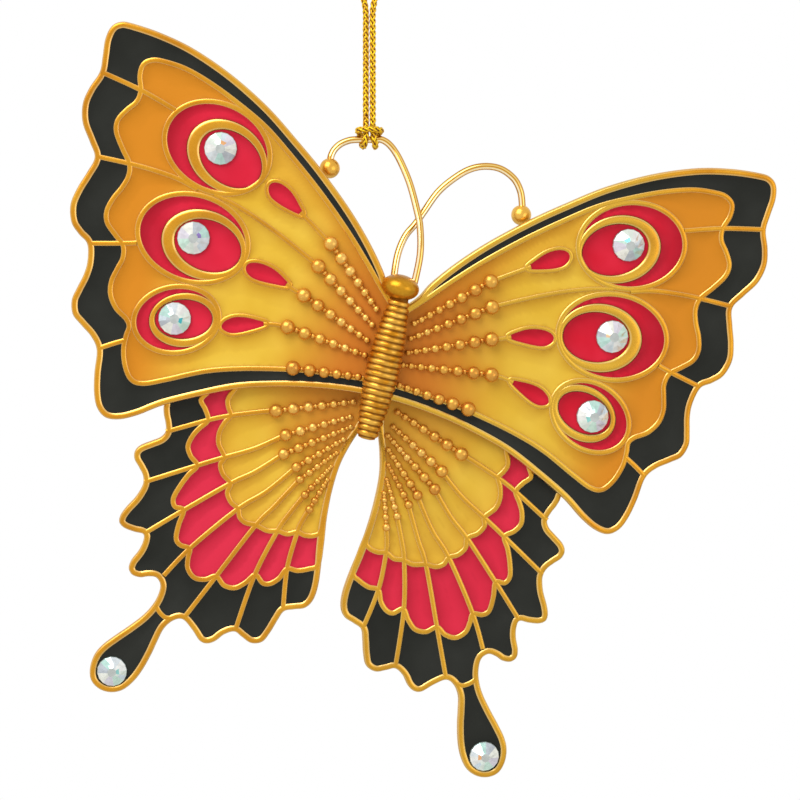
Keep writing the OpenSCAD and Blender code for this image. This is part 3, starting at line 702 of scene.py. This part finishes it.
for name, side in sides.items():
    for wing, casting, place in (("forewing", fore_casting(), fore_place),
                                 ("hindwing", hind_casting(), hind_place)):
        made = build(f"{wing}_casting_{name}", casting, place(side), side,
                     replaces=(f"{wing}_frame_{name}",))
        give_tones(made, gold_tones(casting, side, wing))
        wing_gold.on(made)
        print(made.name, "faces:", len(made.data.polygons))

# %% [markdown]
# ## Enamel in the cells
#
# The enamel is soft matte colour, poured into the cells and airbrushed. Shade is
# painted on it along the gold lines, and it is pale in the middle. Its cells come from
# the imported model's own enamel pieces, whose front faces we read. Those faces
# are few and large, so the cell is filled again with a fine mesh. Then each
# point can carry how near the wall it is, and the surface can sag a little
# between its walls as poured enamel does.

# %% Read and refill the cells
grid, wall_step, near_count = 0.45, 0.2, 24


def cell_faces(node, place, side):
    """The front triangles of an enamel node, as flat points in millimetres."""
    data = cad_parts[node].data
    flat = place.inverted()
    spots = [flat @ v.co for v in data.vertices]
    data.calc_loop_triangles()
    found = []
    for t in data.loop_triangles:
        corners = [spots[i] for i in t.vertices]
        if min(c.z for c in corners) > enamel_low - 0.02:
            found.append([(round(side * c.x, 3), round(c.y, 3)) for c in corners])
    return found


def squares(triangle, size):
    """The squares of that size that the triangle may reach into, by their numbers."""
    steps = [range(floor(min(c) / size), floor(max(c) / size) + 1) for c in zip(*triangle)]
    return [(i, j) for i in steps[0] for j in steps[1]]


def inside_spots(triangles):
    """Grid points that lie in one of the triangles."""
    return {(i * grid, j * grid) for t in triangles for i, j in squares(t, grid)
            if intersect_point_tri_2d((i * grid, j * grid), *t)}


def shelved(triangles):
    """The triangles by the millimetre squares that they may reach into."""
    shelf = {}
    for t in triangles:
        for square in squares(t, 1):
            shelf.setdefault(square, []).append(t)
    return shelf


def refilled(node, place, side):
    """A fine mesh of the cells, with each point's distance to the wall and its painted shade."""
    triangles = cell_faces(node, place, side)
    # a wall is an edge that only one triangle has
    count = Counter(tuple(sorted(edge)) for t in triangles
                    for edge in zip(t, t[1:] + t[:1]) if edge[0] != edge[1])
    walls = [edge for edge, times in count.items() if times == 1]
    corners = sorted({p for wall in walls for p in wall})
    number = {p: i for i, p in enumerate(corners)}
    along = []
    for a, b in walls:
        a, b = Vector(a), Vector(b)
        n = max(1, ceil((b - a).length / wall_step))
        along += [a.lerp(b, (k + 0.5) / n) for k in range(n)]
    near = KDTree(len(along))
    for i, p in enumerate(along):
        near.insert((p.x, p.y, 0), i)
    near.balance()
    fill = [p for p in inside_spots(triangles) if near.find((*p, 0))[2] > wall_step]
    points = [Vector(p) for p in corners + sorted(fill)]
    edges = [(number[a], number[b]) for a, b in walls]
    spots, _, found, *_ = delaunay_2d_cdt(points, edges, [], 0, 1e-5)
    shelf = shelved(triangles)
    faces = []
    for f in found:
        mid = sum((spots[i] for i in f), Vector((0, 0))) / 3
        near_by = shelf.get((floor(mid.x), floor(mid.y)), [])
        if any(intersect_point_tri_2d(mid, *t) for t in near_by):
            faces.append(tuple(f))
    # painted shade along the walls, heavier under the walls above and to the left
    up_left = Vector((-0.6 * side, 0.8))
    reach, shade = [], []
    for p in spots:
        by = near.find_n((p.x, p.y, 0), near_count)
        d = 0.0 if (round(p.x, 3), round(p.y, 3)) in number else by[0][2]
        pull = sum(((w.xy - p) / (r + 0.1) ** 3 for w, _, r in by), Vector((0, 0)))
        toward = pull.normalized().dot(up_left) if d > 0.05 else 0
        reach.append(d)
        shade.append((0.6 + 0.4 * toward) * exp(-d / (0.85 + 0.35 * toward)))
    return spots, faces, reach, shade

# %% Tones the airbrush left, and painted shade on the red
def fore_amber(x, y, side):
    """How orange and how brown the amber is at a spot of the forewing."""
    orange = rise(x + 0.12 * abs(y - 12), 26, 38) + 0.35 * rise(y - 0.55 * x, 8, 14)
    return min(orange, 1), 1 - rise(x + 0.1 * y, 5, 19 + side)


def hind_amber(x, y, side):
    """The same for the hindwing, which is browner near the body."""
    far = hypot(x, y + 2)
    return 0.25 * rise(far, 18, 26), (0.6 - 0.15 * side) * (1 - rise(far, 8, 21))


def fore_red(x, y, side):
    """How pink the red is, and how much painted shade it gets: most on the outer crescents of the eyes.
    """
    return 0.15 - 0.15 * side, 0.5 * rise(x, 33, 38)


def hind_red(x, y, side):
    """The same for the hindwing, which is pinker, as the left side is on both."""
    return 0.7 - 0.1 * side, 0


sag_reach, creep, creep_reach = 0.7, 0.05, 0.25


def enamel(kind, wing, name, side, place, tone, sag, finish):
    node = f"{wing}_{kind}_{name}"
    spots, faces, reach, shade = refilled(node, place(side), side)
    # it sags away from the walls and creeps up a little at their feet
    verts = [(p.x, p.y, enamel_top - sag * (1 - exp(-d / sag_reach)) + creep * exp(-d / creep_reach))
             for p, d in zip(spots, reach)]
    made = build(f"{wing}_{kind}_enamel_{name}", (verts, faces), place(side), side,
                 replaces=(node,))
    give_tones(made, [(wall, *tone(p.x, p.y, side)) for p, wall in zip(spots, shade)])
    finish.on(made)
    return made

# %% [markdown]
# ## Enamel colours
#
# The amber runs from yellow in the middle of the wing to orange at the margin
# and tan beside the body. The black is a charcoal grey, never a true black,
# and the red is a deep carmine with a cooler, paler bloom. All three are
# matte: a broad soft shine and no mirror reflections.

# %% Enamel finishes
def matte(name, roughness, shine, clouds, base, layers, grain):
    """Cloudy enamel; each layer is (which tone, how much of it, its colour)."""
    made = Finish(name, Roughness=roughness, Specular_IOR_Level=shine)
    tone = made.tones()
    colour = made.ramp(made.noise(*clouds), *base)
    for which, amount, tint in layers:
        colour = made.mix(made.grow(tone[which], amount), colour, tint)
    made.colour(colour)
    made.bump(made.noise(0.5, detail=3), 0.02, grain)
    return made


# the channels of the tone layer: the painted shade along the walls, then the piece's own two
wall = 0
orange, brown = pink, deep = 1, 2
amber = matte("amber_enamel", 0.42, 0.12, (7, 2), [(0.35, "E6B838"), (0.65, "EFC546")],
              [(orange, 1, "DB8A22"), (brown, 0.97, "D07A28"), (wall, 0.75, "B0700F")], 0.15)
black = matte("black_enamel", 0.4, 0.08, (9, 3), [(0.35, "272824"), (0.7, "31322E")],
              [(wall, 0.5, "1E1E1A")], 0.2)
# deep darkens the red with painted shade on the outer crescents of the eyes
red = matte("red_enamel", 0.4, 0.12, (5, 2), [(0.35, "D81830"), (0.68, "E2263E")],
            [(pink, 1, "E43450"), (deep, 1, "961020"), (wall, 0.85, "960C1C")], 0.15)

# %% Pour the enamel
for name, side in sides.items():
    poured = []
    for wing, place, amber_tone, red_tone in (("forewing", fore_place, fore_amber, fore_red),
                                              ("hindwing", hind_place, hind_amber, hind_red)):
        poured += [enamel("amber", wing, name, side, place, amber_tone, 0.10, amber),
                   enamel("black", wing, name, side, place, amber_tone, 0.06, black),
                   enamel("red", wing, name, side, place, red_tone, 0.05, red)]
    print(name, "enamel faces:", [len(p.data.polygons) for p in poured])

# %% [markdown]
# ## Bead rows
#
# Rows of cast beads run out from the body and grow toward the wing's middle.
# A tiny bead sits in every gap. They could be instances of one sphere, but
# each real bead is a little different, so each is turned on its own: a ball
# squashed a little, with a soft unevenness. A wing's beads are one piece.

# %% Turn the beads
def ball(centre, radius, flat=1.0, rings=10, around=16, uneven=0.0):
    cx, cy, cz = centre
    verts = [(cx, cy, cz + radius * flat)]
    for i in range(1, rings):
        a = pi * i / rings
        for b in full_turn(around):
            v = Vector((sin(a) * cos(b), sin(a) * sin(b), cos(a)))
            r = radius * (1 + uneven * noise.noise(v * 1.7 + Vector(centre)))
            verts.append((cx + r * v.x, cy + r * v.y, cz + r * flat * v.z))
    verts.append((cx, cy, cz - radius * flat))
    last = len(verts) - 1
    faces = quads(rings - 1, around, ring=True, start=1)
    for k in range(around):
        n = (k + 1) % around
        faces.append((0, 1 + k, 1 + n))
        faces.append((last, last - around + n, last - around + k))
    return verts, faces


# the next bead's size, a radius as a share of the size, and the least tiny bead
bead_step, bead_share, tiny_r = 0.88, 0.54, 0.29


def steps_to(i):
    return (1 - bead_step ** i) / (1 - bead_step)


def bead_spots(row, more):
    """The middle and the size of each bead; more are added at the inner end."""
    outer, inner, n, size = row
    return [(Vector(outer).lerp(Vector(inner), steps_to(i) / steps_to(n - 1)),
             size * bead_step ** i) for i in range(n + more)]


def bead_rows(rows, more):
    parts = []
    for row in rows:
        spots = bead_spots(row, more)
        for at, size in spots:
            parts.append(ball((at.x, at.y, enamel_top + size / 4), bead_share * size,
                              flat=0.9, uneven=0.05))
        for (a, big), (b, small) in zip(spots, spots[1:]):
            gap = (b - a).length - (big + small) / 2
            at = a + (b - a).normalized() * (big / 2 + gap / 2)
            parts.append(ball((at.x, at.y, enamel_top + 0.12), max(tiny_r, gap / 2 + 0.1),
                              rings=6, around=10))
    return join(*parts)


for name, side in sides.items():
    for wing, place, rows in (("forewing", fore_place, fore_rows),
                              ("hindwing", hind_place, hind_rows)):
        # the rows of the right forewing reach one bead nearer the body
        more = int(wing == "forewing" and side == 1)
        made = build(f"{wing}_bead_rows_{name}", bead_rows(rows, more), place(side), side,
                     replaces=(f"{wing}_beads_{name}",))
        bead_gold.on(made)
        print(made.name, "faces:", len(made.data.polygons))

# %% [markdown]
# ## Crystals
#
# The stones are round, flat-backed glass with a foiled back and a coating
# that plays in mint, orange and lilac. Clear glass over a mirror would be true,
# but it is slow to render and mostly shows the white room. What the eye reads
# is a fan of facets, each a flat patch of its own tint, so each facet's tint is
# painted on the mesh, under a hard clear shine: partly the coating's colours, partly painted
# reflections of the glass over its foil.

# %% Cut the stones
tints = ["EAF6EC", "F6F8EE", "DDE6EA", "D0F0E0", "BEC6CE", "F2F4F0", "E4E0EC", "BCE4DA"]
accents = ["F0AE6C", "8E74C4", "35C6D2", "F3C79A", "8FD8D2", "C79AD0"]
columns, eighth = 16, pi / 4


def stone(x, y, radius, rise_by, turn):
    """A stone's points and facets, and the part and column of each facet."""
    # rings from the table out to the girdle as (radius, height)
    levels = [(0.30, 1.0), (0.52, 0.78), (0.97, 0.24), (1.0, 0.16), (1.0, 0.0)]
    verts = [(x, y, enamel_top + rise_by)]
    for share, height in levels:
        for k in range(columns):
            a = 2 * pi * (k / columns)
            # the table and the crown are eight-sided, the girdle is round
            flat = cos(eighth / 2) / cos((a + eighth / 2) % eighth - eighth / 2)
            r = radius * share * (flat if share < 0.9 else 1)
            verts.append((x + r * cos(a + turn), y + r * sin(a + turn),
                          enamel_top + rise_by * height))
    faces = [(0, 1 + k, 1 + (k + 1) % columns) for k in range(columns)]
    faces += quads(len(levels), columns, ring=True, start=1)
    parts = ("table", "inner", "crown", "edge", "edge")
    return verts, faces, [(part, k) for part in parts for k in range(columns)]


def crystals(name, spots, diameter, place, side, node, seed):
    stones, colours = [], []
    for s, (x, y) in enumerate(spots):
        *cut, paint = stone(x, y, diameter / 2, 0.36 * diameter,
                            radians(12 + 17 * s + 29 * seed))
        stones.append(cut)
        for part, k in paint:
            # a tint is two columns wide; two inner facets get a painted flash of the coating's colours
            # and one of the crown a painted glint
            tint = tints[(3 * (k // 2) + s + 5 * seed) % len(tints)]
            colour = {"table": "C2C8C4", "inner": tint, "crown": tint, "edge": "A9B8B4"}[part]
            if part == "inner" and k in (3 + s, 4 + s):
                colour = accents[(s + 2 * seed) % len(accents)]
            if part == "crown" and k == (5 * s + 3 + seed) % columns:
                colour = "D8E8F0"
            colours.append(srgb(colour))
    made = build(name, join(*stones), place(side), side, replaces=(node,))
    made.data.shade_flat()
    layer = made.data.color_attributes.new("facet", "FLOAT_COLOR", "CORNER")
    for face, colour in zip(made.data.polygons, colours):
        for i in face.loop_indices:
            layer.data[i].color = colour
    foil.on(made)

# %% Crystal finish, and set the stones
foil = Finish("crystal", Metallic=0.25, Roughness=0.08, Coat_Weight=1, Coat_Roughness=0.03)
facet_read = foil.node("ShaderNodeVertexColor", layer_name="facet")
sparkle = foil.ramp(foil.noise(0.9, detail=2), (0.4, 0.84), (0.6, 0.99))
foil.colour(foil.mix(1.0, facet_read.outputs["Color"], sparkle, way="MULTIPLY"))

eye_gems = [(30.1, 25.6), (30.9, 12.35), (30.85, 0.6)]
for seed, (name, side) in enumerate(sides.items()):
    crystals(f"eye_stones_{name}", eye_gems, 4.7, fore_place, side,
             f"eye_crystals_{name}", seed)
    crystals(f"tail_stone_{name}", [(27.9, -51)], 4.3, hind_place, side,
             f"tail_crystal_{name}", seed + 2)
print("stones:", 2 * (len(eye_gems) + 1))

# %% [markdown]
# ## Body and head
#
# The body is turned: 23 ribs round a spindle that is widest at its middle.
# A lathe profile gives the ribs their rounded backs and narrow grooves. The
# head is a separate smooth bead, wider than it is high, set on its top end.
# Both sit on the wings, so their backs are cut flat there, as in the model.

# %% Turn the body and the head
around = 48


def lathe(profile):
    """Turns (radius, along) pairs round the y axis."""
    verts = [(r * sin(a), y, r * cos(a)) for r, y in profile for a in full_turn(around)]
    return verts, quads(len(profile), around, ring=True)


body_l, body_d, ribs, rib_h, per_rib = 19.9, 5.0, 23, 0.22, 8
body_x, body_top, body_lift = -0.55, 10.65, 1.0
head_x = body_x - 0.3
# the height of the flat seat, and where the body runs out past the forewings
seat, wings_end = 0.05, -4.2


def body_half(s):
    """Half width at a share s of the length: a spindle, widest in its middle."""
    return body_d / 2 * (0.6 + 0.4 * sin(pi * s))


def seated(mesh, at):
    """Moves a turned piece to its place and cuts its back flat on the forewings."""
    verts = [(x + at[0], y + at[1], z + at[2]) for x, y, z in mesh[0]]
    return [(x, y, max(z, seat) if y > wings_end else z) for x, y, z in verts], mesh[1]


# a short neck goes up into the head, and every other rib is a little lower;
# groove holds for each ring of points how deep it lies and if its rib is low
rib_profile = [(0.001, 0.9), (0.9, 0.8), (1.25, 0.4)]
groove = [(1, 0)] * 3
for i in range(ribs * per_rib + 1):
    s = i / (ribs * per_rib)
    part = (i % per_rib) / per_rib
    deep = abs(cos(pi * part)) ** 6
    low = (i // per_rib) % 2
    rib_profile.append((body_half(s) - rib_h * deep - 0.03 * low, -s * body_l))
    groove.append((deep, low))
rib_profile += [(body_half(1) * 0.8, -body_l - 0.22), (body_half(1) * 0.45, -body_l - 0.4),
                (0.001, -body_l - 0.45)]
groove += [(0.2, 0), (0, 0), (0, 0)]

ribbed = build("ribbed_body_turned", seated(lathe(rib_profile), (body_x, body_top, body_lift)),
               hang, replaces=("ribbed_body",))
give_tones(ribbed, [groove[i // around] for i in range(len(ribbed.data.vertices))])

head_w, head_h = 5.4, 3.6
head_profile = [(max(head_w / 2 * sin(radians(a)), 0.001),
                 head_h / 2 * cos(radians(a))) for a in range(0, 181, 6)]
head_y = body_top + head_h / 2
head = build("head_turned", seated(lathe(head_profile), (head_x, head_y, body_lift)),
             hang, replaces=("head",))

rib_gold = Finish("rib_gold", Metallic=0.85, Roughness=0.3)
deep, low, _ = rib_gold.tones()
rib_tone = rib_gold.ramp(rib_gold.noise(1.6, detail=3), (0.35, "C27E10"), (0.65, "E6B048"))
rib_tone = rib_gold.mix(rib_gold.grow(low, 0.35), rib_tone, "BC7A12")
# the grooves get painted shade, a dark brown in the creases between the ribs
painted_groove_shade = rib_gold.ramp(deep, (0.2, 0.0), (0.9, 1.0))
rib_gold.colour(rib_gold.mix(rib_gold.grow(painted_groove_shade, 0.85), rib_tone, "643806"))
rib_gold.bump(rib_gold.noise(0.3, detail=3), 0.04, 0.3)
rib_gold.on(ribbed)
body_gold.on(head)
print("body length in mm:", round(body_l + 0.45, 2))

# %% [markdown]
# ## Antennae
#
# Each antenna is one length of round wire, bent into an arch and ending in a
# small ball. It is the one really polished part, with long bright streaks. A
# lamp alone wouldn't draw them so evenly round the bend, so the tube's pale and
# brown lines are painted by how far a point lies from the arch's outer side.

# %% Bend the wires and turn the balls
wire_along = Vector((cos(radians(roll)), sin(radians(roll)), 0))
wire_sides = 32
left_wire = ([(1, 13.2, 0.6), (0.9, 17.5, 0.1), (0.1, 21.2, -0.8), (-0.9, 23.6, -1.6),
              (-2.6, 26.9, -2.8), (-4.4, 29.5, -3.9), (-5.7, 30.95, -4.6), (-6.8, 31.75, -4.9)]
             + [tuple(hitch_at + k * wire_along) for k in (1.7, 0.85, -0.85, -1.7)]
             + [(-12.2, 30.9, -5), (-13.3, 30.15, -4.9), (-14.05, 29.1, -4.7),
                (-14.3, 28, -4.5), (-14.15, 26.9, -4.4)])
right_wire = [(-1.9, 13, -0.3), (-2.1, 16.7, -1.1), (-1.6, 19.5, -1.9), (-0.5, 21.6, -2.6),
              (0.3, 23.5, -3.1), (1.7, 26.7, -3.8), (3.6, 29.2, -4.2), (5.5, 30.9, -4.5),
              (7.6, 31.8, -4.6), (9.8, 31.9, -4.7), (11.9, 31, -4.7), (13.2, 29.5, -4.6),
              (13.9, 27.7, -4.5), (14.1, 26.7, -4.4)]


def outer_to_inner(route, turn):
    """Where each point of a wire lies between the outer and inner side of its arch."""
    for _, u, v in frames(route):
        along = u.cross(v)
        inward = turn * Vector((-along.y, along.x, 0)).normalized()
        for a in full_turn(wire_sides):
            yield ((1 + (cos(a) * u + sin(a) * v).dot(inward)) / 2,)


for name, points, tip_at, turn in (("left", left_wire, (-14.1, 26.4, -4.3), 1),
                                   ("right", right_wire, (14.1, 26.2, -4.4), -1)):
    route = smooth(points, 10, closed=False)
    wire = build(f"antenna_{name}", tube(route, wire_r, wire_sides), hang,
                 replaces=(f"antenna_wire_{name}",))
    give_tones(wire, outer_to_inner(route, turn))
    tip = build(f"antenna_tip_{name}", ball(tip_at, 1.45, rings=24, around=32, uneven=0.02),
                hang, replaces=(f"antenna_ball_{name}",))
    wire_gold.on(wire)
    ball_gold.on(tip)
    print(name, "antenna faces:", len(wire.data.polygons))

# %% [markdown]
# ## Studio
#
# The photograph has a pure white ground and soft light from the upper left.
# The world is plain white where the camera and the shiny parts look at it,
# and a mild grey for lighting, so the colours aren't washed out. A large
# soft lamp gives the lines their light and dark edges, a weaker one fills.

# %% World, floor and lamps
world = bpy.data.worlds.new("studio")
scene.world = world
world.use_nodes = True
sky = world.node_tree
sky.nodes.clear()
white = (1, 1, 1, 1)
lighting = add_node(sky, "ShaderNodeBackground", {"Color": white, "Strength": 0.42})
looks = add_node(sky, "ShaderNodeBackground", {"Color": white, "Strength": 1.0})
ray = add_node(sky, "ShaderNodeLightPath").outputs
mirrored = add_node(sky, "ShaderNodeMath", {0: ray["Is Glossy Ray"],
                                            1: ray["Is Transmission Ray"]}, operation="MAXIMUM")
seen = add_node(sky, "ShaderNodeMath", {0: ray["Is Camera Ray"], 1: mirrored.outputs[0]},
                operation="MAXIMUM")
choose = add_node(sky, "ShaderNodeMixShader", {"Fac": seen.outputs[0], 1: lighting.outputs[0],
                                               2: looks.outputs[0]})
add_node(sky, "ShaderNodeOutputWorld", {"Surface": choose.outputs[0]})

floor_data = bpy.data.meshes.new("floor")
floor_z = -0.32
floor_data.from_pydata([(x, y, floor_z) for x, y in ((-1, -1), (1, -1), (1, 1), (-1, 1))],
                       [], [(0, 1, 2, 3)])
ground = bpy.data.objects.new("floor", floor_data)
scene.collection.objects.link(ground)
paper = Finish("white_paper", Roughness=0.9)
# the floor's own points are in metres, and so is the size of its clouds
paper.colour(paper.ramp(paper.noise(0.2), (0.3, "F4F4F2"), (0.7, "FAFAF8")))
paper.on(ground)


def lamp(name, place, power, size):
    data = bpy.data.lights.new(name, "AREA")
    data.energy = power
    data.size = size
    made = bpy.data.objects.new(name, data)
    made.location = place
    toward = Vector((0.005, 0, -0.06)) - Vector(place)
    made.rotation_euler = toward.to_track_quat("-Z", "Y").to_euler()
    scene.collection.objects.link(made)


lamp("key_lamp", (-0.55, -0.7, 0.85), 13.0, 1.0)
lamp("fill_lamp", (0.6, -0.7, -0.05), 0.9, 0.5)
scene.view_settings.view_transform = "Standard"
